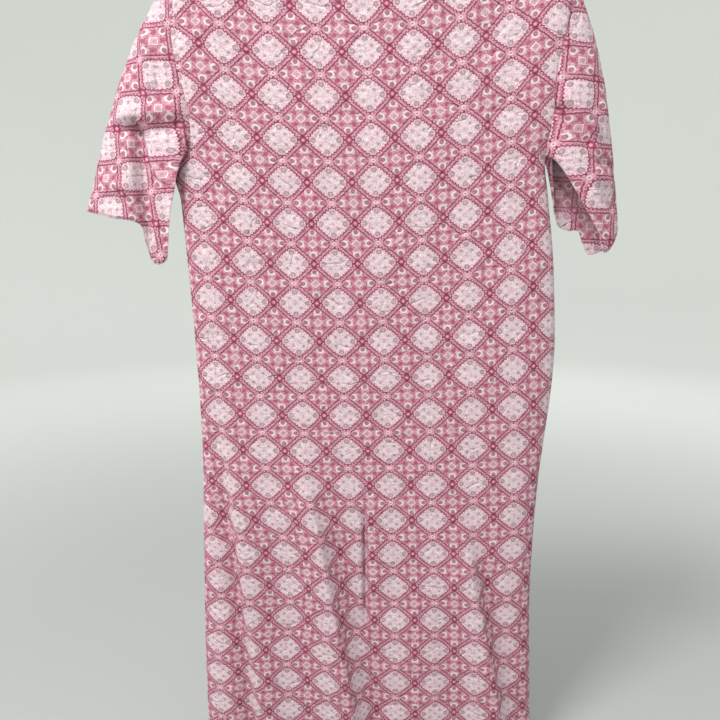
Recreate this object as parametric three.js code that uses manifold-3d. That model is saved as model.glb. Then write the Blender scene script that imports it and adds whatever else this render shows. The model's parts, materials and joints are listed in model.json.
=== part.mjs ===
import * as THREE from 'three';
import { mergeVertices } from 'three/addons/utils/BufferGeometryUtils.js';
import Module from 'manifold-3d';

// A short-sleeved patient gown that closes down the back, hanging as it does on a hanger.
// Millimetres. Z is up, the front faces -Y and the wearer's left is +X.
// The origin lies between the two points where the shoulder seams meet the neckline.

// Body
const gownLength = 1230; // neck point to hem
const chestHalfWidth = 265; // half the width laid flat, below the arms
const waistNarrowing = 9; // how far each side comes in above the knee
const waistHeight = -900;
const waistReach = 190;
const neckHalfWidth = 95;
const frontNeckDrop = 75;
const backNeckDrop = 30;
const shoulderHalfWidth = 273; // centre to the top of the sleeve seam
const shoulderDrop = 50;
const underarmDrop = 300;
const topHalfDepth = 12; // how far the front stands from the middle, at the neck
const hemHalfDepth = 38; // and at the hem
const shoulderRounding = 25; // height over which the shoulder fold rounds off
const seamGap = 0.6; // each edge's distance from the seam between front and back

// Armholes and sleeves
const armholeHalfDepth = 18;
const sleeveHalfDepth = 24;
const armholeGap = 1.2;
const sleeveBow = 10; // how far the top line bows outwards over the arm
const leftSleeve = { outerOut: 84, outerDown: 306, innerOut: 27, innerDown: 134 }; // hem corners, from
const rightSleeve = { outerOut: 131, outerDown: 324, innerOut: 41, innerDown: 146 }; // tip and underarm

// Cloth
const clothThickness = 1;
const liningThickness = 0.8; // facings and turned-up hems, sewn inside
const layerGap = 0.3; // between one layer and the next
const hemHeight = 20;
const hemInset = 0.6;
const bindingWidth = 9;
const bindingWall = 0.7;
const bindingEndShare = 0.8; // where the front binding ends, as a share of the neck half width
const liningInset = (clothThickness + liningThickness) / 2 + layerGap; // from the cloth's middle
const tapeWidth = 8;

// Back opening: each side folds back along a straight line from the neck to the hem
const foldTopX = 88;
const foldTopDepth = 6;
const foldHemInset = 50; // from the side seam's line to the fold line, at the hem
const foldHemDepth = 37;
const foldGapInside = 0.35; // fold line to the moving cloth
const foldGapOutside = 0.55; // fold line to the fixed cloth
const foldEdgeThickness = 0.15;
const foldTaper = 2.65; // width over which the cloth thins towards the fold line
const overlapHalfWidth = 22;
const overlapLift = 5.3; // how far the wearer's left side lies over the right
const overlapRise = 38; // width over which it rises there
const facingHalfWidth = 20.5;

// Press studs, one under another down the overlap
const studTop = -48;
const studPitch = 142;
const studCount = 4;
const stemRadius = 1.2;
const knobRadius = 2.1;
const knobClearance = 0.6;
const capRadius = 6;
const capThickness = 0.9;
const socketRadius = 5.4;
const socketPlate = 0.6;
const plateRadius = 5;
const plateThickness = 0.5;
const postRadius = 4.6;
const postThickness = 0.7;
const stemClearance = 0.4;
const studSegments = 12;

const roseCloth = new THREE.MeshStandardMaterial({ color: 0xe3a0b4, roughness: 0.92, metalness: 0 });
const insideCloth = new THREE.MeshStandardMaterial({ color: 0xecc3cf, roughness: 0.95, metalness: 0 });
const bindingCloth = new THREE.MeshStandardMaterial({ color: 0xd98ba3, roughness: 0.9, metalness: 0 });
const whiteTape = new THREE.MeshStandardMaterial({ color: 0xf1ebe9, roughness: 0.9, metalness: 0 });
const studEnamel = new THREE.MeshStandardMaterial({ color: 0xf0d9df, roughness: 0.35, metalness: 0 });
const studMetal = new THREE.MeshStandardMaterial({ color: 0xc4c7ca, roughness: 0.3, metalness: 0.9 });

const gown = new THREE.Group();
const wasm = await Module();
wasm.setup();

function addPiece(name, geometry, material) {
  const piece = new THREE.Mesh(geometry, material);
  piece.name = name;
  gown.add(piece);
}

// The gown's outline and depth

const mix = (a, b, share) => a + (b - a) * share;
const smooth = (share) => {
  const s = Math.min(1, Math.max(0, share));
  return s * s * (3 - 2 * s);
};

function halfWidth(z) {
  const above = Math.max(0, z + underarmDrop) / (underarmDrop - shoulderDrop);
  const waist = waistNarrowing * Math.exp(-(((z - waistHeight) / waistReach) ** 2));
  return chestHalfWidth + (shoulderHalfWidth - chestHalfWidth) * above - waist;
}

function shoulderZ(x) {
  const along = (Math.abs(x) - neckHalfWidth) / (shoulderHalfWidth - neckHalfWidth);
  return -shoulderDrop * Math.max(0, along);
}

function topEdge(x, neckDrop) {
  const across = Math.abs(x) / neckHalfWidth;
  return across < 1 ? -neckDrop * (1 - across ** 2.5) : shoulderZ(x);
}

// How full the flattened tube is, from 1 at the middle to 0 at a side seam or shoulder fold
function fullness(x, z) {
  const across = Math.min(1, Math.abs(x) / halfWidth(z));
  const below = Math.min(1, Math.max(0, shoulderZ(x) - z) / shoulderRounding);
  return Math.sqrt(1 - across ** 8) * Math.sqrt(1 - (1 - below) ** 2);
}

function armholeDepth(x, z) {
  const reach = (underarmDrop - shoulderDrop) / 2;
  const up = (z + shoulderDrop + reach) / reach;
  const nearness = smooth((Math.abs(x) / halfWidth(z) - 0.5) / 0.5);
  return armholeHalfDepth * Math.sqrt(Math.max(0, 1 - up * up)) * nearness;
}

const frontDepth = (x, z) => {
  const flat = mix(topHalfDepth, hemHalfDepth, -z / gownLength) * fullness(x, z);
  return Math.max(seamGap, Math.hypot(flat, armholeDepth(x, z)));
};

const foldTopZ = topEdge(foldTopX, backNeckDrop);
const foldShare = (z) => (foldTopZ - z) / (gownLength + foldTopZ);
const foldX = (z) => mix(foldTopX, chestHalfWidth - foldHemInset, foldShare(z));
const foldDepth = (z) => mix(foldTopDepth, foldHemDepth, foldShare(z));

const backDepth = (x, z) => {
  const flat = (foldDepth(z) * fullness(x, z)) / Math.max(0.05, fullness(foldX(z), z));
  return Math.max(seamGap, Math.hypot(flat, armholeDepth(x, z)));
};

// Cloth as a grid of points with an inner face, an outer face and a rim

function toPoint(x, row, neckDrop, depth, xAt) {
  let across = x;
  let z = row;
  for (let pass = 0; pass < 6; pass++) {
    z = row > -underarmDrop ? row + topEdge(across, neckDrop) * (1 + row / underarmDrop) : row;
    across = xAt ? xAt(z) : x;
  }
  return new THREE.Vector3(across, depth(across, z), z);
}

function gridNormals(grid, wraps) {
  const lastColumn = grid[0].length - 1;
  return grid.map((line, r) =>
    line.map((_, c) => {
      const up = grid[Math.max(0, r - 1)][c];
      const down = grid[Math.min(grid.length - 1, r + 1)][c];
      const before = wraps && c === 0 ? line[lastColumn] : line[Math.max(0, c - 1)];
      const after = wraps && c === lastColumn ? line[0] : line[Math.min(lastColumn, c + 1)];
      const along = after.clone().sub(before);
      return along.cross(down.clone().sub(up)).normalize();
    }),
  );
}

function flipIfInsideOut(positions, triangles) {
  const corner = (i) => new THREE.Vector3().fromArray(positions, 3 * i);
  let volume = 0;
  for (let t = 0; t < triangles.length; t += 3) {
    const [a, b, c] = [0, 1, 2].map((k) => corner(triangles[t + k]));
    volume += a.dot(b.cross(c));
  }
  if (volume < 0) triangles.reverse();
}

function toGeometry(positions, triangles) {
  flipIfInsideOut(positions, triangles);
  const geometry = new THREE.BufferGeometry();
  geometry.setAttribute('position', new THREE.Float32BufferAttribute(positions, 3));
  geometry.setIndex(triangles);
  return geometry;
}

function cloth(grid, { thickness = clothThickness, offset = 0, wraps = false, thin = () => 1 } = {}) {
  const normals = gridNormals(grid, wraps);
  const rows = grid.length;
  const columns = grid[0].length;
  const positions = [];
  for (const side of [1, -1]) {
    for (let r = 0; r < rows; r++) {
      for (let c = 0; c < columns; c++) {
        const out = offset + (side * thickness * thin(c)) / 2;
        const point = grid[r][c].clone().addScaledVector(normals[r][c], out);
        positions.push(point.x, point.y, point.z);
      }
    }
  }
  const at = (side, r, c) => side * rows * columns + r * columns + (c % columns);
  const triangles = [];
  const quad = (a, b, c, d) => triangles.push(a, b, c, a, c, d);
  const spans = wraps ? columns : columns - 1;
  for (let r = 0; r < rows - 1; r++) {
    for (let c = 0; c < spans; c++) {
      quad(at(0, r, c), at(0, r, c + 1), at(0, r + 1, c + 1), at(0, r + 1, c));
      quad(at(1, r, c), at(1, r + 1, c), at(1, r + 1, c + 1), at(1, r, c + 1));
    }
    if (!wraps) {
      quad(at(0, r, 0), at(0, r + 1, 0), at(1, r + 1, 0), at(1, r, 0));
      const last = columns - 1;
      quad(at(0, r + 1, last), at(0, r, last), at(1, r, last), at(1, r + 1, last));
    }
  }
  for (let c = 0; c < spans; c++) {
    quad(at(0, 0, c + 1), at(0, 0, c), at(1, 0, c), at(1, 0, c + 1));
    quad(at(0, rows - 1, c), at(0, rows - 1, c + 1), at(1, rows - 1, c + 1), at(1, rows - 1, c));
  }
  return toGeometry(positions, triangles);
}

// A folded binding: a channel that runs along the top row of a grid and straddles its edge
function binding(grid, innerReach, outerReach) {
  const normals = gridNormals(grid, false);
  const [low, high] = [-innerReach - layerGap, outerReach + layerGap];
  const [lowWall, highWall, top] = [low - bindingWall, high + bindingWall, -layerGap - bindingWall];
  const profile = [
    [bindingWidth, highWall], [top, highWall], [top, lowWall], [bindingWidth, lowWall],
    [bindingWidth, low], [-layerGap, low], [-layerGap, high], [bindingWidth, high],
  ];
  const positions = [];
  grid[0].forEach((edge, c) => {
    const before = grid[0][Math.max(0, c - 1)];
    const after = grid[0][Math.min(grid[0].length - 1, c + 1)];
    const down = after.clone().sub(before).cross(normals[0][c]).normalize();
    if (down.dot(grid[1][c].clone().sub(edge)) < 0) down.negate();
    for (const [along, out] of profile) {
      const point = edge.clone().addScaledVector(down, along).addScaledVector(normals[0][c], out);
      positions.push(point.x, point.y, point.z);
    }
  });
  const size = profile.length;
  const triangles = [];
  for (let c = 0; c < grid[0].length - 1; c++) {
    for (let k = 0; k < size; k++) {
      const [a, b] = [c * size + k, c * size + ((k + 1) % size)];
      triangles.push(a, b, b + size, a, b + size, a + size);
    }
  }
  const outline = profile.map(([along, out]) => new THREE.Vector2(along, out));
  const last = (grid[0].length - 1) * size;
  for (const [a, b, c] of THREE.ShapeUtils.triangulateShape(outline, [])) {
    triangles.push(c, b, a, last + a, last + b, last + c);
  }
  return toGeometry(positions, triangles);
}

// Boolean cuts

function toManifold(geometry) {
  const bare = geometry.clone();
  bare.deleteAttribute('normal');
  bare.deleteAttribute('uv');
  const merged = mergeVertices(bare);
  return new wasm.Manifold(
    new wasm.Mesh({
      numProp: 3,
      vertProperties: new Float32Array(merged.attributes.position.array),
      triVerts: new Uint32Array(merged.index.array),
    }),
  );
}

function punch(geometry, tools) {
  let solid = toManifold(geometry);
  for (const tool of tools) solid = solid.subtract(toManifold(tool));
  const { vertProperties, triVerts } = solid.getMesh();
  const cut = new THREE.BufferGeometry();
  cut.setAttribute('position', new THREE.Float32BufferAttribute(vertProperties, 3));
  cut.setIndex(Array.from(triVerts));
  return cut;
}

// Rows and columns. Rows are heights below the top edge, closer together round the armholes.

const armholeRows = [0, 0.012, 0.05, 0.12, 0.28, 0.5, 0.72, 0.9, 1].map((s) => -s * underarmDrop);
const skirtRows = [0.15, 0.36, 0.54, 0.7, 0.85].map((s) => mix(-underarmDrop, -gownLength, s));
const bodyRows = [...armholeRows, ...skirtRows, hemHeight - gownLength, -gownLength];
const hemRows = [hemHeight, hemHeight / 2, hemInset].map((up) => up - gownLength);
const sideShares = [1, 0.993, 0.965, 0.9, 0.8, 0.66, 0.5];
const neckShare = neckHalfWidth / halfWidth(0);
const neckShares = [1, 0.88, 0.76, 0.5, 0.25].map((share) => share * neckShare);
const frontShares = [...sideShares, ...neckShares];
const acrossFront = [...frontShares.map((s) => -s), 0, ...frontShares.toReversed()];

function frontGrid(rows, shares) {
  const depth = (x, z) => -frontDepth(x, z);
  return rows.map((row) => shares.map((s) => toPoint(0, row, frontNeckDrop, depth, (z) => s * halfWidth(z))));
}

function makeFront() {
  addPiece('front_panel', cloth(frontGrid(bodyRows, acrossFront)), roseCloth);
  const underHem = acrossFront.filter((share) => Math.abs(share) < 0.99);
  const turned = frontGrid(hemRows, underHem);
  const hem = cloth(turned, { thickness: liningThickness, offset: insideOf(turned, liningInset) });
  addPiece('front_hem', hem, insideCloth);
  const neck = acrossFront.filter((share) => Math.abs(share) < neckShare * bindingEndShare);
  const neckEdge = frontGrid(bodyRows.slice(0, 3), neck);
  const reach = clothThickness / 2;
  addPiece('front_neck_binding', binding(neckEdge, reach, reach), bindingCloth);
}

// The offset that moves a layer towards the gown's middle, whichever way the grid's normals point
function insideOf(grid, distance) {
  const middle = Math.floor(grid[0].length / 2);
  const normal = gridNormals(grid, false)[1][middle];
  return Math.sign(normal.y) === Math.sign(grid[1][middle].y) ? -distance : distance;
}

// Back: a fixed side and a moving flap, on each side of the overlap. side is +1 for the wearer's left.

const fixedShares = [0, 0.036, 0.3, 0.6, 0.8, 0.92, 0.98, 1];

function sideGrid(side, rows, shares) {
  return rows.map((row) =>
    shares.map((s) =>
      toPoint(0, row, backNeckDrop, backDepth, (z) => side * mix(foldX(z) + foldGapOutside, halfWidth(z), s)),
    ),
  );
}

function makeBackSide(side, name) {
  const thin = (column) => (column === 0 ? foldEdgeThickness / clothThickness : 1);
  addPiece(`back_${name}_side`, cloth(sideGrid(side, bodyRows, fixedShares), { thin }), roseCloth);
  const turned = sideGrid(side, hemRows, fixedShares.slice(1, -1));
  const offset = insideOf(turned, liningInset);
  addPiece(`${name}_side_hem`, cloth(turned, { thickness: liningThickness, offset }), insideCloth);
}

const riseStart = overlapHalfWidth + 2 + overlapRise;
const flapShares = [0, 0.3, 0.65, 1];
const flapColumns = [0.75, 0.5, 0.25, 0].map((s) => overlapHalfWidth + 2 + s * overlapRise);
const overlapColumns = [overlapHalfWidth, 0, -overlapHalfWidth];

const liftAt = (x, height) => height * smooth((riseStart - x) / overlapRise);

function flapGrid(side, rows, lift, columns) {
  const depth = (x, z) => backDepth(x, z) + liftAt(side * x, lift);
  return rows.map((row) =>
    columns.map((column) => toPoint(0, row, backNeckDrop, depth, (z) => side * column(z))),
  );
}

const fromFold = (inset) => (z) => foldX(z) - foldGapInside - inset;
const towardsRise = (share) => (z) => mix(foldX(z) - foldGapInside - foldTaper, riseStart, share);
const fixedAt = (x) => () => x;

function flapLines(includeTaper) {
  const fromTaper = flapShares.map(towardsRise);
  const start = includeTaper ? [fromFold(0), ...fromTaper] : fromTaper;
  return [...start, ...flapColumns.map(fixedAt), ...overlapColumns.map(fixedAt)];
}

const studHeights = Array.from({ length: studCount }, (_, i) => studTop - i * studPitch);
const backSlope = Math.atan((foldHemDepth - foldTopDepth) / (gownLength + foldTopZ));

function placeOnOverlap(geometry, z) {
  geometry.rotateX(-backSlope);
  return geometry.translate(0, backDepth(0, z), z);
}

function stemHoles() {
  const radius = stemRadius + stemClearance;
  const length = 6 * overlapLift;
  return studHeights.map((z) => {
    const hole = new THREE.CylinderGeometry(radius, radius, length, studSegments);
    return placeOnOverlap(hole, z);
  });
}

function makeFlap(side, name, lift) {
  const thin = (column) => (column === 0 ? foldEdgeThickness / clothThickness : 1);
  const panel = cloth(flapGrid(side, bodyRows, lift, flapLines(true)), { thin });
  addPiece(`back_${name}_flap`, punch(panel, stemHoles()), roseCloth);

  const facingRows = [0, ...bodyRows.slice(2, -2), hemHeight + 2 * hemInset - gownLength];
  const facingColumns = [facingHalfWidth, 0, 1.5 * hemInset - overlapHalfWidth].map(fixedAt);
  const facingGrid = flapGrid(side, facingRows, lift, facingColumns);
  const facing = cloth(facingGrid, { thickness: liningThickness, offset: insideOf(facingGrid, liningInset) });
  addPiece(`${name}_back_facing`, punch(facing, stemHoles()), insideCloth);

  const turned = flapGrid(side, hemRows, lift, [...flapLines(false).slice(0, -1), fixedAt(-facingHalfWidth)]);
  const hem = cloth(turned, { thickness: liningThickness, offset: insideOf(turned, liningInset) });
  addPiece(`${name}_back_hem`, hem, insideCloth);

  const edge = flapGrid(side, bodyRows.slice(0, 3), lift, flapLines(false).slice(1)); // clear of the fold
  const innerReach = clothThickness / 2 + layerGap + liningThickness;
  const outerReach = clothThickness / 2;
  const normalOut = gridNormals(edge, false)[0][0].y > 0;
  const reaches = normalOut ? [innerReach, outerReach] : [outerReach, innerReach];
  addPiece(`${name}_neck_binding`, binding(edge, ...reaches), bindingCloth);
}

// Sleeves: flattened tubes from the armhole to a slanted hem

const sleeveRings = [0, 0.12, 0.28, 0.46, 0.64, 0.82, 1];
const sleeveSides = 22;

function sleeveGrid(side, hem, rings) {
  const top = [side * (shoulderHalfWidth + armholeGap), -shoulderDrop];
  const underarm = [side * (chestHalfWidth + armholeGap), -underarmDrop];
  return rings.map((s) => {
    const bow = sleeveBow * Math.sin(Math.PI * s);
    const outer = [top[0] + side * (hem.outerOut * s + bow), top[1] - hem.outerDown * s];
    const inner = [underarm[0] + side * hem.innerOut * s, underarm[1] - hem.innerDown * s];
    const depth = mix(armholeHalfDepth, sleeveHalfDepth, s);
    return Array.from({ length: sleeveSides }, (_, k) => {
      const turn = (2 * Math.PI * k) / sleeveSides;
      const share = (1 + Math.cos(turn)) / 2;
      const [x, z] = [mix(inner[0], outer[0], share), mix(inner[1], outer[1], share)];
      return new THREE.Vector3(x, depth * Math.sin(turn), z);
    });
  });
}

function makeSleeve(side, name, hem) {
  const grid = sleeveGrid(side, hem, sleeveRings);
  addPiece(`${name}_sleeve`, cloth(grid, { wraps: true }), roseCloth);
  const hemRings = [hemHeight, hemHeight / 2, hemInset].map((up) => 1 - up / hem.outerDown);
  const turned = sleeveGrid(side, hem, hemRings);
  const quarter = Math.round(sleeveSides / 4);
  const outward = gridNormals(turned, true)[1][quarter].y > 0 ? 1 : -1;
  const offset = -outward * liningInset;
  const sleeveHem = cloth(turned, { wraps: true, thickness: liningThickness, offset });
  addPiece(`${name}_sleeve_hem`, sleeveHem, insideCloth);
}

// Shoulder tapes: a woven stay inside each shoulder seam

function makeShoulderTape(side, name) {
  const run = shoulderHalfWidth - neckHalfWidth;
  const slope = Math.atan(shoulderDrop / run);
  const length = Math.hypot(run, shoulderDrop) - 2 * tapeWidth;
  const tape = new THREE.BoxGeometry(length, liningThickness, tapeWidth);
  tape.translate(0, 0, -tapeWidth / 2 - clothThickness / 2 - layerGap * 1.4);
  tape.rotateY(side * slope);
  tape.translate(side * (neckHalfWidth + run / 2), 0, -shoulderDrop / 2);
  addPiece(`${name}_shoulder_tape`, tape, whiteTape);
}

// Press studs. Each profile is a list of (radius, depth) points turned about the stud's own axis,
// with depth counted from the middle of the under layer.

const underTop = clothThickness / 2;
const underBottom = -(clothThickness / 2 + layerGap + liningThickness);
const overTop = overlapLift + underTop;
const overBottom = overlapLift + underBottom;
const plateBottom = underTop + layerGap;
const plateTop = plateBottom + plateThickness;
const socketTop = overBottom - layerGap;
const socketBottom = plateTop + layerGap;
const socketFloor = socketTop - socketPlate;
const knobTop = socketFloor - layerGap;
const bore = stemRadius + stemClearance;
const recess = knobRadius + knobClearance;

const capProfile = [
  [0, socketFloor + layerGap], [stemRadius, socketFloor + layerGap], [stemRadius, overTop + layerGap],
  [capRadius, overTop + layerGap], [capRadius, overTop + layerGap + 0.5 * capThickness],
  [0.7 * capRadius, overTop + layerGap + capThickness], [0, overTop + layerGap + 1.15 * capThickness],
];
const socketProfile = [
  [bore, socketFloor], [recess, socketFloor], [recess, socketBottom], [socketRadius, socketBottom],
  [socketRadius, socketTop], [bore, socketTop], [bore, socketFloor],
];
const studProfile = [
  [0, knobTop - 0.5 * plateThickness], [bore, knobTop - 0.5 * plateThickness], [bore, plateBottom],
  [plateRadius, plateBottom], [plateRadius, plateTop], [0.85 * knobRadius, plateTop],
  [knobRadius, (plateTop + knobTop) / 2], [0.8 * knobRadius, knobTop], [0, knobTop],
];
const postProfile = [
  [0, underBottom - layerGap - postThickness], [postRadius, underBottom - layerGap - postThickness],
  [postRadius, underBottom - layerGap], [stemRadius, underBottom - layerGap],
  [stemRadius, knobTop - 0.5 * plateThickness - layerGap], [0, knobTop - 0.5 * plateThickness - layerGap],
];

function turnProfile(profile) {
  const points = profile.map(([radius, depth]) => new THREE.Vector2(radius, depth));
  const lathe = new THREE.LatheGeometry(points, studSegments);
  lathe.deleteAttribute('normal');
  lathe.deleteAttribute('uv');
  const merged = mergeVertices(lathe, 1e-5);
  const triangles = []; // without the flat ones left on the axis
  const index = merged.index.array;
  for (let t = 0; t < index.length; t += 3) {
    const [a, b, c] = [index[t], index[t + 1], index[t + 2]];
    if (a !== b && b !== c && c !== a) triangles.push(a, b, c);
  }
  return toGeometry(Array.from(merged.attributes.position.array), triangles);
}

function makePressStuds() {
  const parts = [
    ['snap_cap', capProfile, studEnamel],
    ['snap_socket', socketProfile, studMetal],
    ['snap_stud', studProfile, studMetal],
    ['snap_post', postProfile, studEnamel],
  ];
  studHeights.forEach((z, i) => {
    for (const [name, profile, material] of parts) {
      addPiece(`${name}_${i + 1}`, placeOnOverlap(turnProfile(profile), z), material);
    }
  });
}

makeFront();
for (const [side, name, lift, sleeve] of [
  [1, 'left', overlapLift, leftSleeve],
  [-1, 'right', 0, rightSleeve],
]) {
  makeBackSide(side, name);
  makeFlap(side, name, lift);
  makeSleeve(side, name, sleeve);
  makeShoulderTape(side, name);
}
makePressStuds();

export default gown;
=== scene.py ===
import json
import math

import bmesh
import bpy
import numpy as np
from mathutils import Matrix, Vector, noise

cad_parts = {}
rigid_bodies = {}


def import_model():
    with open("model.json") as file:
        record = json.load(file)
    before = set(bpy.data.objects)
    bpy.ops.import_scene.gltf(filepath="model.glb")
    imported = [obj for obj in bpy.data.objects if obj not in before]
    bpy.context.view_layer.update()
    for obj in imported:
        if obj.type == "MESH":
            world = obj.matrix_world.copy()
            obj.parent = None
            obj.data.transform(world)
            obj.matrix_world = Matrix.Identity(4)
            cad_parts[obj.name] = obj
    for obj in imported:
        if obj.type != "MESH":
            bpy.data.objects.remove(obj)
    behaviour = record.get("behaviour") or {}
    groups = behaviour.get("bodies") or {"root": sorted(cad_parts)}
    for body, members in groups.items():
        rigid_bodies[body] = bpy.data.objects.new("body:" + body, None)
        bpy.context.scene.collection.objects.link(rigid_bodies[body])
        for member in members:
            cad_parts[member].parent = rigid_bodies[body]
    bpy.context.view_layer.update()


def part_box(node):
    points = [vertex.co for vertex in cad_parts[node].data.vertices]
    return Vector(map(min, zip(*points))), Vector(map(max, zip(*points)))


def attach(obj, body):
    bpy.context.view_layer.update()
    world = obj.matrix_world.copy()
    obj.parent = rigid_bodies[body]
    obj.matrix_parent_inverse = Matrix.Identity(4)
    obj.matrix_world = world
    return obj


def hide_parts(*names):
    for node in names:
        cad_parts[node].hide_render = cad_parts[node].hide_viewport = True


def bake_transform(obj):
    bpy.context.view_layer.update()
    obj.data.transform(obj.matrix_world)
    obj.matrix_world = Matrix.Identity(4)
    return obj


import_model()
mm = 0.001

# the gown as it hangs, in millimetres from the neck points; the wearer's left is +x
gownSize = {
    "length": -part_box("front_panel")[0][2] / mm,
    "neckHalf": 95.0,
    "frontNeckDrop": 75.0,
    "backNeckDrop": 30.0,
    "shoulderHalf": 273.0,
    "shoulderDrop": 50.0,
    "underarm": 300.0,
    "shoulderRound": 25.0,
    "topDepth": 12.0,
    "hemDepth": 38.0,
    "armholeDepth": 18.0,
    "cloth": 0.9,
}


def smooth(share):
    share = np.clip(share, 0.0, 1.0)
    return share * share * (3 - 2 * share)


def mix(a, b, share):
    return a + (b - a) * share


def along(points, at):  # a smooth line through a few (place, value) pairs
    places, values = (np.array(column, float) for column in zip(*sorted(points)))
    at = np.clip(np.asarray(at, float), places[0], places[-1])
    i = np.clip(np.searchsorted(places, at) - 1, 0, len(places) - 2)
    slopes = np.gradient(values, places)
    gap = places[i + 1] - places[i]
    s = (at - places[i]) / gap
    ends = values[i] * (1 + 2 * s) * (1 - s) ** 2 + values[i + 1] * s * s * (3 - 2 * s)
    return ends + gap * (slopes[i] * s * (1 - s) ** 2 - slopes[i + 1] * s * s * (1 - s))


def ripple(x, z, scale, seed):  # smooth noise from about -1 to 1
    spots = [Vector((a / scale, b / scale, seed)) for a, b in zip(np.ravel(x), np.ravel(z))]
    return np.array([noise.noise(spot) for spot in spots]).reshape(np.shape(x))


def crease(x, z, fold):  # how far a fold between two points stands out
    (x0, z0), (x1, z1) = fold["from"], fold["to"]
    run = math.hypot(x1 - x0, z1 - z0)
    ax, az = (x1 - x0) / run, (z1 - z0) / run
    down = ((x - x0) * ax + (z - z0) * az) / run
    bend = fold.get("bow", 0.0) * 4 * down * (1 - down)
    off = (z - z0) * ax - (x - x0) * az - bend
    grow = smooth(down / fold.get("start", 0.3))
    if not fold.get("open"):
        grow = grow * smooth((1 - down) / fold.get("end", 0.3))
    width = np.where(off < 0, fold["left"], fold["right"])
    return fold["height"] * grow * np.exp(-((off / width) ** 2))


def wrinkles(x, z, seed, size=1.0):
    warp = 30 * ripple(x, z, 170, seed + 4)
    broad = ripple(x + warp, z * 0.6, 110, seed)
    ridges = 1 - np.abs(ripple(x + warp, z * 0.7 + warp, 48, seed + 9)) * 2.4
    fine = 1 - np.abs(ripple(x + warp, z, 19, seed + 17)) * 2.2
    return size * (2.1 * broad + 1.35 * ridges + 0.6 * fine)


# cloth and other finishes

printColours = {
    "pale": (0.93, 0.76, 0.805),
    "paleInk": (0.36, 0.20, 0.25),
    "paleBlush": (0.74, 0.40, 0.49),
    "rose": (0.51, 0.12, 0.205),
    "roseDark": (0.28, 0.03, 0.085),
    "roseLight": (0.79, 0.41, 0.50),
    "white": (0.88, 0.77, 0.77),
    "dusk": (0.47, 0.15, 0.215),
    "crimson": (0.22, 0.012, 0.055),
    "hotPink": (0.80, 0.20, 0.34),
    "grey": (0.42, 0.32, 0.34),
    "washed": (0.66, 0.36, 0.44),
}
printRepeat = {"wide": 63.75, "high": 58.2, "shiver": 0.022}


class Finish:
    def __init__(self, name, **values):
        self.material = bpy.data.materials.new(name)
        self.material.use_nodes = True
        self.tree = self.material.node_tree
        self.shader = self.tree.nodes["Principled BSDF"]
        for key, value in values.items():
            self.shader.inputs[key.replace("_", " ")].default_value = value

    def add(self, kind, inputs=(), **settings):
        node = self.tree.nodes.new("ShaderNode" + kind)
        for key, value in settings.items():
            setattr(node, key, value)
        for key, value in dict(inputs).items():
            if isinstance(value, bpy.types.NodeSocket):
                self.tree.links.new(value, node.inputs[key])
            else:
                node.inputs[key].default_value = value
        return node

    def sum(self, kind, a, b=0.0, c=0.0):
        return self.add("Math", {0: a, 1: b, 2: c}, operation=kind).outputs[0]

    def fade(self, value, start, end):  # 0 at start, 1 at end
        return self.add("MapRange", {0: value, 1: start, 2: end}, interpolation_type="SMOOTHSTEP").outputs[0]

    def choose(self, share, a, b):
        return self.add("Mix", {0: share, 2: a, 3: b}, data_type="FLOAT").outputs[0]

    def paint(self, mask, under, over, strength=1.0):
        if isinstance(over, str):
            over = (*printColours[over], 1.0)
        if strength != 1.0:
            mask = self.sum("MULTIPLY", mask, strength)
        return self.add("Mix", {0: mask, 6: under, 7: over}, data_type="RGBA").outputs[2]

    def both(self, a, b):
        return self.sum("MULTIPLY", a, b)

    def far(self, x, y, atX=0.0, atY=0.0, wide=1.0, high=1.0):  # distance, in units of an oval
        dx = self.sum("DIVIDE", self.sum("SUBTRACT", x, atX), wide)
        dy = self.sum("DIVIDE", self.sum("SUBTRACT", y, atY), high)
        return self.sum("SQRT", self.sum("ADD", self.sum("MULTIPLY", dx, dx), self.sum("MULTIPLY", dy, dy)))

    def disc(self, far, radius, blur=0.012):
        return self.fade(far, radius + blur, radius - blur)

    def ring(self, far, radius, half, blur=0.01):
        return self.disc(self.sum("ABSOLUTE", self.sum("SUBTRACT", far, radius)), half, blur)

    def relief(self, height, strength, distance):
        bump = self.add("Bump", {"Strength": strength, "Distance": distance, "Height": height})
        self.tree.links.new(bump.outputs[0], self.shader.inputs["Normal"])

    def finish(self, colour):
        self.tree.links.new(colour, self.shader.inputs["Base Color"])
        return self.material


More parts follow.
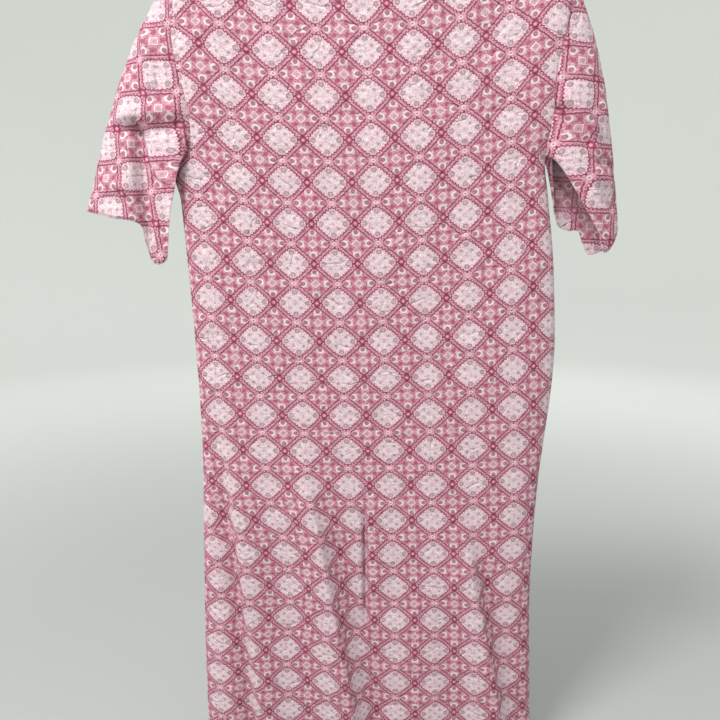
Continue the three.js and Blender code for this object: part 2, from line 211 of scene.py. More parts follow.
def paleCell(n, x, y, place):
    diamond = n.sum("ADD", x, y)
    outward = n.sum("MAXIMUM", x, y)
    rosette = n.sum("MINIMUM", n.far(x, y, 0.285, 0.0), n.far(x, y, 0.0, 0.28))
    rounded = n.sum("ADD", n.sum("POWER", x, 1.2), n.sum("POWER", y, 1.2))
    scallop = n.sum("MULTIPLY", n.sum("COSINE", n.sum("MULTIPLY", n.sum("SUBTRACT", x, y), 52.0)), 0.014)
    outline = n.sum("ADD", n.sum("SUBTRACT", n.sum("POWER", rounded, 1 / 1.2), 0.392), scallop)
    speck = n.add("TexVoronoi", {"Vector": place, "Scale": 27.0}).outputs["Distance"]
    rays = n.sum("ABSOLUTE", n.sum("SINE", n.sum("MULTIPLY", n.sum("MINIMUM", x, y), 75.0)))
    cloth = n.paint(n.disc(speck, 0.36, 0.14), (*printColours["pale"], 1), "paleBlush")
    fan = n.both(n.fade(outward, 0.30, 0.37), n.fade(rays, 0.35, 0.8))
    cloth = n.paint(fan, cloth, "paleBlush", 0.8)
    frill = n.sum("ABSOLUTE", n.sum("SINE", n.sum("MULTIPLY", n.sum("ARCTAN2", y, x), 16.0)))
    rim = n.both(n.fade(outline, -0.11, -0.03), n.fade(frill, 0.45, 0.85))
    cloth = n.paint(rim, cloth, "roseLight", 0.9)
    horseshoe = n.both(n.ring(rosette, 0.047, 0.019), n.fade(outward, 0.345, 0.31))
    cloth = n.paint(horseshoe, cloth, "paleInk", 0.8)
    cloth = n.paint(n.disc(rosette, 0.024), cloth, "paleInk", 0.6)
    diagonal = n.far(x, y, 0.125, 0.12)
    cloth = n.paint(n.disc(diagonal, 0.032), cloth, "paleInk", 0.75)
    cloth = n.paint(n.ring(diagonal, 0.052, 0.006), cloth, "paleInk", 0.35)
    sprigs = n.sum("MINIMUM", n.far(x, y, 0.20, 0.06), n.far(x, y, 0.06, 0.20))
    cloth = n.paint(n.disc(sprigs, 0.012, 0.012), cloth, "paleInk", 0.45)
    cloth = n.paint(n.ring(diamond, 0.060, 0.010), cloth, "paleInk", 0.4)
    cloth = n.paint(n.disc(n.far(x, y), 0.020), cloth, "paleInk", 0.65)
    leaves = n.sum("ABSOLUTE", n.sum("SINE", n.sum("MULTIPLY", n.sum("SUBTRACT", x, y), 30.0)))
    cloth = n.paint(n.fade(outline, -0.004, 0.008), cloth, "rose")
    cloth = n.paint(n.both(n.fade(outline, 0.022, 0.034), n.fade(leaves, 0.4, 0.7)), cloth, "roseLight")
    return n.paint(n.ring(outline, 0.012, 0.015), cloth, "crimson")


def roseCell(n, x, y, place):
    diamond = n.sum("ADD", x, y)
    outward = n.sum("MAXIMUM", x, y)
    rosette = n.sum("MINIMUM", n.far(x, y, 0.285, 0.0), n.far(x, y, 0.0, 0.28))
    speck = n.add("TexVoronoi", {"Vector": place, "Scale": 24.0}).outputs["Distance"]
    beads = n.sum("ABSOLUTE", n.sum("SINE", n.sum("MULTIPLY", n.sum("SUBTRACT", x, y), 34.0)))
    cloth = n.paint(n.fade(speck, 0.25, 0.65), (*printColours["rose"], 1), "roseLight", 0.75)
    diagonal = n.far(x, y, 0.135, 0.13)
    cloth = n.paint(n.disc(diagonal, 0.05, 0.02), cloth, "roseDark", 0.85)
    cloth = n.paint(n.ring(diagonal, 0.028, 0.006), cloth, "hotPink", 0.7)
    petals = n.disc(n.far(x, y, 0.20, 0.075), 0.026, 0.02)
    cloth = n.paint(petals, cloth, "white", 0.5)
    cloth = n.paint(n.disc(n.far(x, y, 0.075, 0.20), 0.026, 0.02), cloth, "white", 0.5)
    crescent = n.both(n.ring(rosette, 0.068, 0.024), n.fade(outward, 0.335, 0.27))
    cloth = n.paint(crescent, cloth, "white")
    cloth = n.paint(n.disc(rosette, 0.042), cloth, "dusk", 0.9)
    cloth = n.paint(n.ring(rosette, 0.042, 0.005), cloth, "roseDark", 0.7)
    cloth = n.paint(n.disc(rosette, 0.016), cloth, "grey", 0.7)
    rays = n.sum("ABSOLUTE", n.sum("SINE", n.sum("MULTIPLY", n.sum("MINIMUM", x, y), 60.0)))
    cloth = n.paint(n.both(n.fade(outward, 0.34, 0.42), n.fade(rays, 0.3, 0.8)), cloth, "roseLight", 0.9)
    cloth = n.paint(n.ring(diamond, 0.100, 0.017), cloth, "white")
    cloth = n.paint(n.disc(diamond, 0.070), cloth, "roseLight")
    cloth = n.paint(n.disc(n.far(x, y), 0.026), cloth, "grey", 0.9)
    band = n.both(n.fade(diamond, 0.435, 0.455), n.fade(beads, 0.25, 0.6))
    cloth = n.paint(band, cloth, "roseLight", 0.85)
    wave = n.sum("MULTIPLY", n.sum("COSINE", n.sum("MULTIPLY", n.sum("SUBTRACT", x, y), 34.0)), 0.010)
    return n.paint(n.ring(n.sum("ADD", diamond, wave), 0.425, 0.019, 0.010), cloth, "crimson")


def drawPrint(n, place):
    split = n.add("SeparateXYZ", {0: place})
    u, v = split.outputs[0], split.outputs[1]
    s, t = n.sum("ADD", u, v), n.sum("SUBTRACT", u, v)
    cellS, cellT = n.sum("ROUND", s), n.sum("ROUND", t)
    p, q = n.sum("SUBTRACT", s, cellS), n.sum("SUBTRACT", t, cellT)
    isRose = n.sum("PINGPONG", n.sum("ADD", cellS, cellT), 1.0)
    x = n.sum("ABSOLUTE", n.sum("MULTIPLY", n.sum("ADD", p, q), 0.5))
    y = n.sum("ABSOLUTE", n.sum("MULTIPLY", n.sum("SUBTRACT", p, q), 0.5))
    cloth = n.paint(isRose, paleCell(n, x, y, place), roseCell(n, x, y, place))
    edge = n.sum("SUBTRACT", 0.5, n.sum("ADD", x, y))
    cloth = n.paint(n.disc(edge, 0.010, 0.014), cloth, "crimson", 0.55)
    # a dark cross where the pale cells meet side by side, a light flower where they meet end to end
    inX, inY = n.sum("SUBTRACT", x, 0.5), n.sum("SUBTRACT", y, 0.5)
    crossX, crossY = n.choose(isRose, inX, x), n.choose(isRose, y, inY)
    flowerX, flowerY = n.choose(isRose, x, inX), n.choose(isRose, inY, y)
    cloth = n.paint(n.disc(n.far(crossX, crossY, wide=0.088, high=0.15), 0.85, 0.3), cloth, "crimson", 0.95)
    cross = n.far(crossX, crossY)
    cloth = n.paint(n.disc(cross, 0.046, 0.014), cloth, "hotPink")
    cloth = n.paint(n.disc(cross, 0.016, 0.012), cloth, "pale", 0.8)
    petals = n.far(flowerX, flowerY, wide=0.13, high=0.065)
    cloth = n.paint(n.disc(petals, 0.9, 0.25), cloth, "roseLight", 0.9)
    flower = n.far(flowerX, flowerY)
    cloth = n.paint(n.ring(flower, 0.036, 0.012), cloth, "pale", 0.9)
    return n.paint(n.disc(flower, 0.012, 0.01), cloth, "roseDark", 0.9)


def makePrinted(name, washed):
    n = Finish(name, Roughness=0.9, Specular_IOR_Level=0.25, Sheen_Weight=0.05, Sheen_Roughness=0.5)
    place = n.add("UVMap", uv_map="cloth").outputs[0]
    shiver = n.add("TexNoise", {"Vector": place, "Scale": 14.0, "Detail": 2.0}).outputs["Color"]
    wobble = n.add("Mix", {0: printRepeat["shiver"], 4: place, 5: shiver}, data_type="VECTOR").outputs[1]
    kept, drift = 1 - printRepeat["shiver"], printRepeat["shiver"] * 0.51
    still = n.add("VectorMath", {0: wobble, 1: (kept, kept, 1.0)}, operation="DIVIDE").outputs[0]
    centred = n.add("VectorMath", {0: still, 1: (drift, drift, 0.0)}, operation="SUBTRACT").outputs[0]
    cloth = drawPrint(n, centred)
    mottle = n.add("TexNoise", {"Vector": place, "Scale": 2.2, "Detail": 5.0}).outputs[0]
    cloth = n.paint(n.fade(mottle, 0.45, 0.75), cloth, "washed", 0.10)
    pill = n.add("TexNoise", {"Vector": place, "Scale": 60.0, "Detail": 2.0}).outputs[0]
    cloth = n.paint(n.fade(pill, 0.5, 0.72), cloth, "white", 0.24)
    cloth = n.paint(n.fade(pill, 0.48, 0.3), cloth, "roseDark", 0.16)
    if washed:
        cloth = n.paint(washed, cloth, "washed")
    crinkle = n.add("TexNoise", {"Vector": place, "Scale": 7.0, "Detail": 7.0, "Roughness": 0.62}).outputs[0]
    knit = n.add("TexWave", {"Vector": place, "Scale": 38.0, "Distortion": 1.5}).outputs["Fac"]
    swirl = n.add("TexNoise", {"Vector": place, "Scale": 1.6, "Detail": 3.0}).outputs["Color"]
    bent = n.add("Mix", {0: 0.35, 4: place, 5: swirl}, data_type="VECTOR").outputs[1]
    lines = n.add("TexVoronoi", {"Vector": bent, "Scale": 1.7}, feature="DISTANCE_TO_EDGE")
    pressed = n.both(n.fade(lines.outputs["Distance"], 0.05, 0.0), n.fade(mottle, 0.42, 0.6))
    height = n.sum("MULTIPLY_ADD", knit, 0.05, crinkle)
    n.relief(n.sum("MULTIPLY_ADD", pressed, -0.45, height), 0.95, 0.0052)
    return n.finish(cloth)


def makePlain(name, colour, paler, scale, bump, **values):
    n = Finish(name, **values)
    place = n.add("TexCoord").outputs["Object"]
    grain = n.add("TexNoise", {"Vector": place, "Scale": scale, "Detail": 6.0}).outputs[0]
    n.relief(grain, bump, 0.0006)
    return n.finish(n.paint(n.fade(grain, 0.35, 0.7), (*colour, 1), (*paler, 1)))


printedCloth = makePrinted("printed cloth", 0.0)
clothReverse = makePrinted("reverse of the cloth", 0.30)
bindingCloth = makePlain("neck binding", (0.56, 0.15, 0.26), (0.68, 0.26, 0.38), 900, 0.6, Roughness=0.85)
tapeCloth = makePlain("stay tape", (0.72, 0.70, 0.66), (0.82, 0.80, 0.76), 1500, 0.8, Roughness=0.8)
enamel = makePlain("snap enamel", (0.62, 0.16, 0.28), (0.66, 0.19, 0.31), 120, 0.05, Roughness=0.28)
snapMetal = makePlain("snap metal", (0.62, 0.62, 0.60), (0.75, 0.74, 0.72), 700, 0.15, Roughness=0.32,
                      Metallic=1.0)
print("finishes mixed")


# sheets

def makeSheet(name, columns, rows, place, ring=False):
    bm = bmesh.new()
    bmesh.ops.create_grid(bm, x_segments=columns, y_segments=rows, size=0.5)
    spots = np.array([vert.co[:2] for vert in bm.verts]) + 0.5
    points, cloth = place(spots[:, 0], 1 - spots[:, 1])
    layer = bm.loops.layers.uv.new("cloth")
    for vert, point in zip(bm.verts, points):
        vert.co = Vector(point) * mm
    for face in bm.faces:
        face.smooth = True
        for loop in face.loops:
            loop[layer].uv = cloth[loop.vert.index]
    if ring:
        bmesh.ops.remove_doubles(bm, verts=bm.verts, dist=1e-6)
    mesh = bpy.data.meshes.new(name)
    bm.to_mesh(mesh)
    bm.free()
    return addPiece(name, mesh)


def addPiece(name, mesh):
    piece = bpy.data.objects.new(name, mesh)
    bpy.context.collection.objects.link(piece)
    return piece


def turnOver(piece):
    bm = bmesh.new()
    bm.from_mesh(piece.data)
    bmesh.ops.reverse_faces(bm, faces=bm.faces)
    bm.to_mesh(piece.data)
    bm.free()


def thicken(piece, thickness, face, reverse):
    piece.data.materials.append(face)
    piece.data.materials.append(reverse)
    wall = piece.modifiers.new("cloth thickness", "SOLIDIFY")
    wall.thickness = thickness * mm
    wall.offset = 0
    wall.material_offset = 1
    wall.material_offset_rim = 1


def rowsOf(s, t):  # the grid's points, row by row
    keys = np.round(t, 6)
    for key in np.unique(keys):
        picked = np.nonzero(keys == key)[0]
        yield key, picked[np.argsort(s[picked])]


def declare(nodes):
    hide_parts(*nodes)


# outline and depth of the body, front and back

bodyShape = {
    "rightSide": [(0, 276), (-50, 275), (-100, 279), (-160, 273), (-220, 264), (-270, 262), (-294, 270),
                  (-312, 284), (-362, 279), (-450, 273), (-600, 265), (-720, 262), (-900, 266),
                  (-1100, 270), (-1240, 270)],
    "leftSide": [(0, 276), (-50, 275), (-100, 269), (-160, 260), (-262, 257), (-300, 251), (-360, 258),
                 (-433, 268), (-505, 274), (-594, 278), (-655, 275), (-718, 269), (-781, 263), (-860, 259),
                 (-980, 257), (-1085, 261), (-1240, 268)],
    "foldTop": (88.0, 6.0, -5.2248),
    "foldHem": (215.0, 37.0, -1230.0),
    "overlapHalf": 22.0,
    "overlapLift": 5.3,
}


def shoulderZ(x):
    reach = (np.abs(x) - gownSize["neckHalf"]) / (gownSize["shoulderHalf"] - gownSize["neckHalf"])
    return -gownSize["shoulderDrop"] * np.maximum(0, reach)


def topEdge(x, drop):
    across = np.minimum(1, np.abs(x) / gownSize["neckHalf"])
    return np.where(across < 1, -drop * (1 - across ** 2.5), shoulderZ(x))


def halfWidth(x, z):
    return np.where(x < 0, along(bodyShape["rightSide"], z), along(bodyShape["leftSide"], z))


def fullness(x, z):
    across = np.minimum(1, np.abs(x) / halfWidth(x, z))
    below = np.clip((shoulderZ(x) - z) / gownSize["shoulderRound"], 0, 1)
    return np.sqrt(np.maximum(0, 1 - across ** 8)) * np.sqrt(1 - (1 - below) ** 2)


def armholeDepth(x, z):
    reach = (gownSize["underarm"] - gownSize["shoulderDrop"]) / 2
    up = (z + gownSize["shoulderDrop"] + reach) / reach
    near = smooth((np.abs(x) / halfWidth(x, z) - 0.5) / 0.5)
    return gownSize["armholeDepth"] * np.sqrt(np.maximum(0, 1 - up * up)) * near


frontFolds = [
    {"from": (-230, -640), "to": (-166, -1240),
     "height": 13, "left": 11, "right": 34, "open": True, "start": 0.5},
    {"from": (-242, -600), "to": (-190, -1240),
     "height": -12, "left": 18, "right": 8, "open": True, "start": 0.4},
    {"from": (-112, -700), "to": (-16, -1240),
     "height": 19, "left": 40, "right": 8, "open": True, "start": 0.5},
    {"from": (-76, -740), "to": (10, -1240),
     "height": -9, "left": 8, "right": 22, "open": True, "start": 0.45},
    {"from": (-11, -800), "to": (-8, -1060), "height": -11, "left": 3.5, "right": 4},
    {"from": (-6, -780), "to": (-2, -1080), "height": 4, "left": 7, "right": 26},
    {"from": (134, -820), "to": (220, -1240),
     "height": 14, "left": 34, "right": 8, "open": True, "start": 0.4},
    {"from": (156, -840), "to": (240, -1240),
     "height": -8, "left": 8, "right": 18, "open": True, "start": 0.4},
    {"from": (60, -930), "to": (94, -1240), "height": 5, "left": 30, "right": 30, "open": True},
    {"from": (-258, -60), "to": (-214, -190), "height": -4, "left": 5, "right": 10, "bow": -5},
    {"from": (-246, -60), "to": (-204, -196), "height": 3, "left": 8, "right": 16, "bow": -5},
    {"from": (-60, -60), "to": (40, -118), "height": 2.4, "left": 7, "right": 5},
    {"from": (-34, -60), "to": (-10, -124), "height": -2, "left": 4, "right": 6},
    {"from": (-86, -330), "to": (-58, -440), "height": 2.2, "left": 6, "right": 5},
    {"from": (60, -330), "to": (84, -440), "height": 2.2, "left": 6, "right": 8},
    {"from": (-272, -520), "to": (-226, -560), "height": 3, "left": 8, "right": 8},
    {"from": (-276, -600), "to": (-224, -650), "height": 3, "left": 7, "right": 9},
    {"from": (-274, -430), "to": (-230, -450), "height": 2.6, "left": 7, "right": 7},
]
backFolds = [
    {"from": (190, -560), "to": (160, -1240), "height": 9, "left": 26, "right": 16, "open": True},
    {"from": (110, -640), "to": (92, -1240), "height": 6, "left": 24, "right": 18, "open": True},
    {"from": (-176, -520), "to": (-140, -1240), "height": 8, "left": 18, "right": 28, "open": True},
    {"from": (-98, -680), "to": (-84, -1240), "height": 5, "left": 20, "right": 24, "open": True},
    {"from": (210, -90), "to": (120, -330), "height": 5, "left": 14, "right": 9},
    {"from": (-216, -90), "to": (-130, -340), "height": 5, "left": 9, "right": 14},
]


def frontSurface(x, z):  # how far the front stands forward
    flat = mix(gownSize["topDepth"], gownSize["hemDepth"] - 8, -z / gownSize["length"]) * fullness(x, z)
    depth = np.hypot(flat, armholeDepth(x, z))
    hold = smooth(flat / 9)  # folds die out at seams and edges
    for fold in frontFolds:
        depth = depth + hold * crease(x, z, fold)
    tuck = 0.9 * smooth(1 - depth / 2.5)  # the edges lap over the back's edges at the seams
    return depth - tuck + hold * wrinkles(x, z, 3.1)


def backSurface(x, z, leftFlap):  # how far the back stands behind
    topX, topY, topZ = bodyShape["foldTop"]
    hemX, hemY, hemZ = bodyShape["foldHem"]
    share = (topZ - z) / (topZ - hemZ)
    foldX = mix(topX, hemX, share)
    level = mix(topY, hemY, share) * fullness(x, z) / np.maximum(0.05, fullness(foldX, z))
    depth = np.hypot(level, armholeDepth(x, z))
    hold = smooth(level / 7) * smooth((np.abs(x) - 26) / 50)
    for fold in backFolds:
        depth = depth + hold * crease(x, z, fold)
    depth = depth + hold * wrinkles(x, z, 8.4 if leftFlap else 12.7, 0.8)
    if leftFlap:
        depth = depth + bodyShape["overlapLift"] * smooth((62 - x) / 38)
    return depth


def sidePoints(surface, facing, x, z, lift):  # points on a surface, pushed out of it by lift
    step = 0.8
    depth = surface(x, z)
    slopeX = (surface(x + step, z) - surface(x - step, z)) / (2 * step)
    slopeZ = (surface(x, z + step) - surface(x, z - step)) / (2 * step)
    slopeX, slopeZ = np.clip(slopeX, -2, 2), np.clip(slopeZ, -2, 2)
    length = np.sqrt(1 + slopeX ** 2 + slopeZ ** 2)
    push = lift / length
    return np.stack([x - slopeX * push, facing * (depth + push), z - slopeZ * push], axis=-1)


def backLeft(x, z):
    return backSurface(x, z, True)


def backRight(x, z):
    return backSurface(x, z, False)


def levelOf(x, row, drop):
    fall = 1 + row / gownSize["underarm"]
    return row + topEdge(x, drop) * np.maximum(0, fall)


def printPlace(x, z):  # the print was laid a little off the straight grain, and the cloth has stretched since
    sag = 1 - 0.7 * np.clip((-z - 300) / 450, 0, 1)
    level = -272.8 - 5 * sag + 12 * sag * np.minimum(1.4, np.abs(x) / 175) ** 2
    give = 1 + 0.044 * np.clip((z + 410) / 235, 0, 1.2)
    row = (level - z) / printRepeat["high"]
    for _ in range(3):
        column = (x / give - 4.1 * row + 0.09 * row * row) / printRepeat["wide"]
        row = (level + 3.4 * column - 0.3 * column * row - z) / 59.07 + 0.0027 * row * row
    return np.stack([column, row], axis=-1)


def placeAcross(surface, facing, drop, edges):
    def place(s, t):
        points, cloth = np.zeros((len(s), 3)), np.zeros((len(s), 2))
        for down, picked in rowsOf(s, t):
            row = -down * gownSize["length"]
            left, right = edges(row)
            turn = np.linspace(0, 1, 500)
            x = mix(left, right, turn)
            z = levelOf(x, row, drop)
            depth = surface(x, z)
            run = np.concatenate([[0], np.cumsum(np.hypot(np.diff(x), np.diff(depth)))])
            even = np.linspace(0, run[-1], len(picked))
            onX = np.interp(even, run, x)
            onZ = levelOf(onX, row, drop)
            points[picked] = np.stack([onX, facing * surface(onX, onZ), onZ], axis=-1)
            cloth[picked, 0] = even - np.interp(0, x, run)
            cloth[picked, 1] = onZ
        return points, printPlace(cloth[:, 0], cloth[:, 1])
    return place


bodySheets = {"columns": 140, "rows": 290, "backColumns": 82}


def makeFront():
    def edges(row):
        return -along(bodyShape["rightSide"], row), along(bodyShape["leftSide"], row)
    place = placeAcross(frontSurface, -1, gownSize["frontNeckDrop"], edges)
    piece = makeSheet("front_cloth", bodySheets["columns"], bodySheets["rows"], place)
    thicken(piece, gownSize["cloth"], printedCloth, clothReverse)
    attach(piece, "gown")
    declare(["front_panel"])


def acrossFold(piece):  # the real flap turns about the line from the neck to the hem; here the piece's transform is only baked into its mesh
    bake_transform(piece)


def makeBack(side, word, surface):
    outline = bodyShape["leftSide" if side > 0 else "rightSide"]

    def edges(row):
        outer, inner = side * along(outline, row), -side * bodyShape["overlapHalf"]
        return (inner, outer) if side > 0 else (outer, inner)
    place = placeAcross(surface, 1, gownSize["backNeckDrop"], edges)
    piece = makeSheet(f"back_{word}_cloth", bodySheets["backColumns"], bodySheets["rows"], place)
    turnOver(piece)
    thicken(piece, gownSize["cloth"], printedCloth, clothReverse)
    acrossFold(piece)
    declare([f"back_{word}_side", f"back_{word}_flap"])


makeFront()
makeBack(1, "left", backLeft)
makeBack(-1, "right", backRight)
print("front and back hung")


# sleeves: each runs from the armhole to a hem that was let fall
# shares go round from the underarm over the front

sleeveShape = {
    "right": {
        "side": -1,
        "hem": [(0.00, -276, 2, -310), (0.02, -270, -10, -303), (0.05, -280, -19, -312),
                (0.10, -284, -22, -342), (0.16, -290, -21, -380), (0.21, -296, -18, -418),
                (0.25, -302, -14, -448), (0.29, -322, -13, -451), (0.33, -330, -15, -422),
                (0.37, -336, -16, -395), (0.42, -372, -17, -387), (0.46, -396, -12, -381),
                (0.50, -416, 0, -377), (0.58, -388, 10, -382), (0.66, -356, 13, -384),
                (0.74, -334, 13, -376), (0.82, -314, 11, -356), (0.90, -296, 8, -334),
                (1.00, -276, 2, -310)],
        "bow": 20,
        "folds": [
            {"from": (-334, -215), "to": (-327, -400), "height": -9, "left": 6, "right": 10, "open": True},
            {"from": (-346, -225), "to": (-344, -400), "height": 6, "left": 16, "right": 6, "open": True},
            {"from": (-372, -264), "to": (-254, -255), "height": -9, "left": 12, "right": 5, "start": 0.2},
            {"from": (-372, -248), "to": (-254, -241), "height": 7, "left": 5, "right": 14, "start": 0.2},
            {"from": (-322, -110), "to": (-304, -230), "height": 5, "left": 9, "right": 7},
            {"from": (-392, -330), "to": (-344, -352), "height": 4, "left": 6, "right": 8},
            {"from": (-398, -352), "to": (-350, -376), "height": -4, "left": 5, "right": 7},
        ],
        "seed": 21.3,
        "printAt": (-294, -192),
        "printTilt": 3,
        "flat": (0.50, 0.32),
        "area": 0.072,
    },
    "left": {
        "side": 1,
        "hem": [(0.00, 262, 3, -303), (0.06, 270, -12, -313), (0.12, 280, -19, -329), (0.22, 305, -21, -369),
                (0.32, 328, -20, -408), (0.38, 339, -16, -436), (0.44, 354, -10, -422), (0.50, 362, 0, -402),
                (0.56, 350, 9, -430), (0.62, 326, 13, -440), (0.70, 310, 15, -407), (0.78, 293, 15, -405),
                (0.85, 277, 13, -395), (0.92, 269, 9, -360), (1.00, 262, 3, -303)],
        "bow": 19,
        "folds": [
            {"from": (256, -226), "to": (318, -300), "height": -11, "left": 6, "right": 12, "start": 0.2},
            {"from": (262, -206), "to": (334, -284), "height": 8, "left": 12, "right": 6, "start": 0.2},
            {"from": (352, -150), "to": (324, -260), "height": 5, "left": 8, "right": 7},
            {"from": (316, -300), "to": (372, -330), "height": -6, "left": 7, "right": 6},
            {"from": (308, -320), "to": (372, -354), "height": 6, "left": 6, "right": 9},
            {"from": (322, -356), "to": (368, -384), "height": -4, "left": 6, "right": 7},
        ],
        "seed": 27.9,
        "printAt": (283, -218),
        "printTilt": -2,
        "flat": (0.50, 0.32),
        "area": 0.058,
    },
}


def hemPoint(shape, share):
    share = np.mod(share, 1.0)
    points = shape["hem"]
    wrapped = [(points[-2][0] - 1, *points[-2][1:])] + points + [(points[1][0] + 1, *points[1][1:])]
    return np.stack([along([(p[0], p[axis]) for p in wrapped], share) for axis in (1, 2, 3)], axis=-1)


def armholePoint(shape, share):
    turn = 2 * math.pi * share
    reach = (gownSize["underarm"] - gownSize["shoulderDrop"]) / 2
    z = -gownSize["shoulderDrop"] - reach - reach * np.cos(turn)
    outline = bodyShape["rightSide" if shape["side"] < 0 else "leftSide"]
    x = shape["side"] * (along(outline, z) - 4.0)
    return np.stack([x, -(gownSize["armholeDepth"] - 1.4) * np.sin(turn), z], axis=-1)


def sleevePoints(shape, share, down, lift=0.0):
    share, down = np.asarray(share, float), np.asarray(down, float)
    top, hem = armholePoint(shape, share), hemPoint(shape, share)
    points = mix(top, hem, down[:, None])
    outer = smooth(1 - np.abs(share - 0.5) * 2.6)
    bow = shape["bow"] * np.sin(math.pi * np.minimum(1, down ** 0.75)) * outer
    points[:, 0] += shape["side"] * bow
    points[:, 2] += 0.25 * bow
    facing = -np.sin(2 * math.pi * share)
    puff = 7 * np.sin(math.pi * down) * facing
    hold = smooth(np.abs(facing) * 2.5) * smooth(down * 9)
    dents = sum(crease(points[:, 0], points[:, 2], fold) for fold in shape["folds"]) * (facing < 0)
    creased = wrinkles(points[:, 0] + 40 * facing, points[:, 2], shape["seed"], 0.9)
    points[:, 1] += puff + np.sign(facing) * (hold * (dents + creased) + lift)
    points[:, 0] += 1.3 * smooth(down * 6) * ripple(points[:, 2], share * 300, 26, shape["seed"])
    return points


def sleevePrint(shape, points, s, t):  # cut on the cross, so its print is turned
    across = np.zeros(len(s))
    for _, picked in rowsOf(s, t):  # the cloth's own width, counted from the outer edge
        ring = points[picked]
        steps = np.hypot(np.diff(ring[:, 0]), np.diff(ring[:, 1]))
        run = np.concatenate([[0], np.cumsum(steps)])
        middle, beside = len(picked) // 2, s[picked] - 0.5
        even = ring[middle, 0] - shape["side"] * np.abs(run - run[middle])
        across[picked] = mix(even, ring[:, 0], smooth((np.abs(beside) - 0.02) / 0.38))
    fromX, fromZ = across - shape["printAt"][0], shape["printAt"][1] - points[:, 2]
    turned = math.radians(45 + shape["printTilt"])
    u = (fromX * math.cos(turned) - fromZ * math.sin(turned)) / printRepeat["wide"]
    v = (fromX * math.sin(turned) + fromZ * math.cos(turned)) / printRepeat["wide"]
    return np.stack([u, v], axis=-1)


def makeSleeve(word):
    shape = sleeveShape[word]

    def place(s, t):
        points = sleevePoints(shape, s, t)
        return points, sleevePrint(shape, points, s, t)
    piece = makeSheet(f"{word}_sleeve_cloth", 150, 84, place, ring=True)
    if shape["side"] < 0:
        turnOver(piece)
    thicken(piece, gownSize["cloth"], printedCloth, clothReverse)
    overShoulder(piece)
    declare([f"{word}_sleeve"])


def overShoulder(piece):
    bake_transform(piece)


makeSleeve("left")
makeSleeve("right")
print("sleeves set in")


# narrow strips: hems, facings, neck bindings and stay tapes, sewn along the sheets

def stripAlong(name, columns, rows, line, surface, facing, turn, material):
    def place(s, t):
        x, z, acrossX, acrossZ = line(s)
        reach, lift = turn(t)
        points = sidePoints(surface, facing, x + acrossX * reach, z + acrossZ * reach, lift)
        return points, printPlace(x + acrossX * reach, z + acrossZ * reach)
    piece = makeSheet(name, columns, rows, place)
    thicken(piece, 0.6, material, material)
    return piece


stripSizes = {"hem": 20.0, "binding": 9.0, "facing": 41.0, "tape": 8.0}


def turnUnder(width, roll, lift):  # up inside, starting from a roll that wraps the edge
    def turn(t):
        reach = np.where(t < roll, -0.9 * np.sin(math.pi * t / roll), width * (t - roll) / (1 - roll))
        inside = np.where(t < roll, lift * np.cos(math.pi * t / roll), -lift)
        return reach, inside
    return turn


def wrapOver(width, lift):  # equal widths on both faces of an edge
    def turn(t):
        reach = width - (width + 1.2) * np.sin(math.pi * t) ** 0.35
        return reach, lift * np.cos(math.pi * t)
    return turn


def hemLine(left, right):
    def line(s):
        x = mix(left, right, s)
        return x, np.full_like(x, -gownSize["length"] + 0.2), np.zeros_like(x), np.ones_like(x)
    return line


def neckLine(left, right, drop):
    def line(s):
        x = mix(left, right, s)
        step = 0.5
        slope = (topEdge(x + step, drop) - topEdge(x - step, drop)) / (2 * step)
        length = np.sqrt(1 + slope ** 2)
        return x, topEdge(x, drop), slope / length, -1 / length
    return line


def makeHems():
    hemRow = -gownSize["length"]
    right, left = along(bodyShape["rightSide"], hemRow) - 1.5, along(bodyShape["leftSide"], hemRow) - 1.5
    edge = bodyShape["overlapHalf"] - 0.5
    piece = stripAlong("front_hem_cloth", 150, 10, hemLine(-right, left), frontSurface, -1,
                       turnUnder(stripSizes["hem"], 0.3, 0.9), printedCloth)
    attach(piece, "gown")
    declare(["front_hem"])
    for side, word, surface, outer in ((1, "left", backLeft, left), (-1, "right", backRight, right)):
        piece = stripAlong(f"{word}_back_hem_cloth", 90, 10, hemLine(-side * edge, side * outer), surface, 1,
                           turnUnder(stripSizes["hem"], 0.3, 0.9), printedCloth)
        acrossFold(piece)
        declare([f"{word}_back_hem", f"{word}_side_hem"])


def makeFacings():
    for side, word, surface in ((1, "left", backLeft), (-1, "right", backRight)):
        edge = -side * bodyShape["overlapHalf"]

        def line(s, edge=edge, side=side):
            x = np.full_like(s, edge)
            z = levelOf(x, -s * (gownSize["length"] - 22), gownSize["backNeckDrop"])
            return x, z, np.full_like(s, side), np.zeros_like(s)
        piece = stripAlong(f"{word}_facing_cloth", 290, 12, line, surface, 1,
                           turnUnder(stripSizes["facing"], 0.15, 0.9), printedCloth)
        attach(piece, f"{word}_flap")
        declare([f"{word}_back_facing"])


def makeBindings():
    neck = gownSize["neckHalf"] - 1.0
    piece = stripAlong("front_binding_cloth", 120, 12, neckLine(-neck, neck, gownSize["frontNeckDrop"]),
                       frontSurface, -1, wrapOver(stripSizes["binding"], 0.9), bindingCloth)
    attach(piece, "gown")
    declare(["front_neck_binding"])
    for side, word, surface in ((1, "left", backLeft), (-1, "right", backRight)):
        edge = -side * bodyShape["overlapHalf"]
        edgeLine = neckLine(edge, side * neck, gownSize["backNeckDrop"])
        piece = stripAlong(f"{word}_binding_cloth", 70, 12, edgeLine,
                           surface, 1, wrapOver(stripSizes["binding"], 0.9), bindingCloth)
        acrossFold(piece)
        declare([f"{word}_neck_binding"])


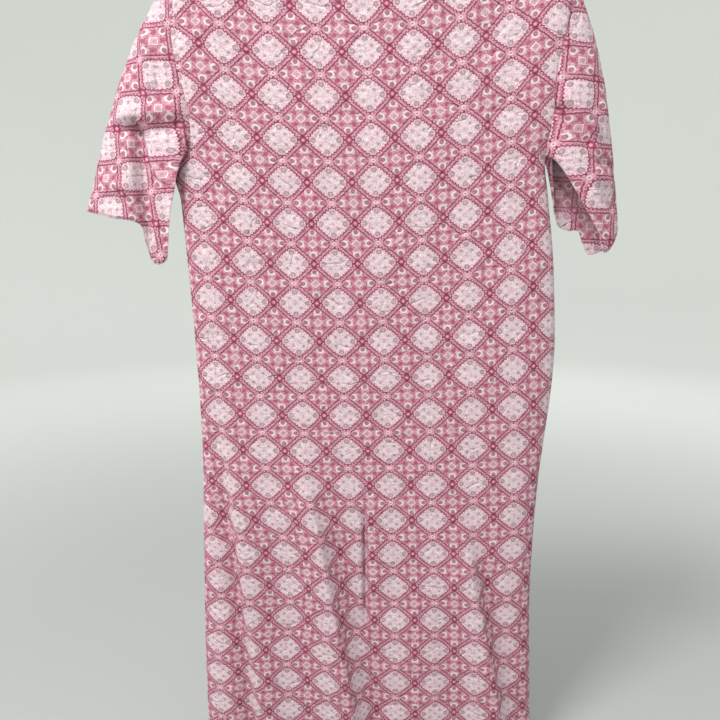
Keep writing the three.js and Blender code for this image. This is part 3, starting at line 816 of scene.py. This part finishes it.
def makeTapes():
    inner, outer = gownSize["neckHalf"] + 4, gownSize["shoulderHalf"] - 12
    for side, word in ((1, "left"), (-1, "right")):
        def line(s, side=side):
            x = side * mix(inner, outer, s)
            return x, shoulderZ(x) - 2.5, np.zeros_like(x), -np.ones_like(x)
        piece = stripAlong(f"{word}_tape_cloth", 50, 4, line, frontSurface, -1,
                           lambda t: (stripSizes["tape"] * t, -1.1 + 0 * t), tapeCloth)
        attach(piece, "gown")
        declare([f"{word}_shoulder_tape"])


def makeSleeveHems():
    for word in ("left", "right"):
        shape = sleeveShape[word]

        def place(s, t, shape=shape):
            reach, lift = turnUnder(0.07, 0.3, 0.9)(t)
            down = 1 - np.where(t < 0.3, reach * 0.003, reach)
            points = sleevePoints(shape, s, down, 0.0)
            top, hem = armholePoint(shape, s), hemPoint(shape, s)
            run = (hem - top) / np.linalg.norm(hem - top, axis=1)[:, None]
            points += run * np.where(t < 0.3, -reach, 0.0)[:, None]
            points[:, 1] -= np.sin(2 * math.pi * s) * lift
            points[:, 0] += shape["side"] * -np.cos(2 * math.pi * s) * lift
            return points, sleevePrint(shape, points, s, t)
        piece = makeSheet(f"{word}_sleeve_hem_cloth", 150, 10, place, ring=True)
        thicken(piece, 0.6, printedCloth, clothReverse)
        overShoulder(piece)
        declare([f"{word}_sleeve_hem"])


makeHems()
makeFacings()
makeBindings()
makeTapes()
makeSleeveHems()
print("strips sewn on")


# press studs

studFinishes = {"snap_cap": enamel, "snap_post": enamel, "snap_socket": snapMetal, "snap_stud": snapMetal}
for node, finish in studFinishes.items():
    for number in range(1, 5):
        piece = bpy.data.objects[f"{node}_{number}"]
        for slot in piece.material_slots:
            slot.material = finish

# floor, light and camera

studio = {
    "floor": -1.275,
    "reach": 5.0,
    "corner": 1.2,
    "wall": 3.0,
    "paint": (0.83, 0.85, 0.82),
    "floorPaint": (0.40, 0.412, 0.40),
    "dayLight": 0.65,
}


def makeStudio():
    bm = bmesh.new()
    flat = studio["reach"] - studio["corner"]
    rim = [(0.0, 0.0), (flat, 0.0)]
    rim += [(flat + studio["corner"] * math.sin(a), studio["corner"] * (1 - math.cos(a)))
            for a in np.linspace(0.2, math.pi / 2, 8)]
    rim.append((studio["reach"], studio["wall"]))
    verts = [bm.verts.new((r, 0, studio["floor"] + h)) for r, h in rim]
    edges = [bm.edges.new(pair) for pair in zip(verts, verts[1:])]
    bmesh.ops.spin(bm, geom=verts + edges, axis=(0, 0, 1), cent=(0, 0, 0), angle=2 * math.pi,
                   steps=64, use_merge=True, use_duplicate=False)
    bmesh.ops.remove_doubles(bm, verts=bm.verts, dist=1e-4)
    mesh = bpy.data.meshes.new("studio_floor")
    bm.to_mesh(mesh)
    bm.free()
    for face in mesh.polygons:
        face.use_smooth = True
    floor = addPiece("studio_floor", mesh)
    paint = Finish("studio paint", Roughness=0.95)
    spot = paint.add("SeparateXYZ", {0: paint.add("TexCoord").outputs["Object"]})
    away = paint.far(spot.outputs[0], spot.outputs[1])
    wall, ground = (*studio["paint"], 1), (*studio["floorPaint"], 1)
    level = paint.fade(away, 0.7, 3.4)
    paint.finish(paint.paint(level, ground, wall))
    mesh.materials.append(paint.material)


def addLight(name, place, target, size, power):
    data = bpy.data.lights.new(name, "AREA")
    data.size = size
    data.energy = power
    light = addPiece(name, data)
    light.location = place
    light.visible_camera = False
    light.rotation_euler = (Vector(target) - Vector(place)).to_track_quat("-Z", "Y").to_euler()


makeStudio()
addLight("overhead front", (-0.9, -1.2, 1.9), (0, 0, -0.7), 0.7, 68)
addLight("left fill", (-2.0, -1.5, -0.1), (0, 0, -0.9), 1.6, 24)
addLight("right fill", (2.3, -1.5, 0.3), (0, 0, -0.6), 1.8, 4)
addLight("behind", (0.9, 2.3, 1.5), (0, 0, -0.6), 1.8, 28)
world = bpy.data.worlds.new("studio")
world.use_nodes = True
world.node_tree.nodes["Background"].inputs[0].default_value = (0.95, 0.97, 0.96, 1)
world.node_tree.nodes["Background"].inputs[1].default_value = studio["dayLight"]
bpy.context.scene.world = world
bpy.context.scene.view_settings.view_transform = "Standard"

viewPoint = {"place": (-0.017, -1.108, -0.389), "tilt": 10.8, "lens": 37.0}
cameraData = bpy.data.cameras.new("camera")
cameraData.lens = viewPoint["lens"]
camera = addPiece("camera", cameraData)
camera.location = viewPoint["place"]
camera.rotation_euler = (math.radians(90 - viewPoint["tilt"]), 0, 0)
bpy.context.scene.camera = camera
print("studio set")
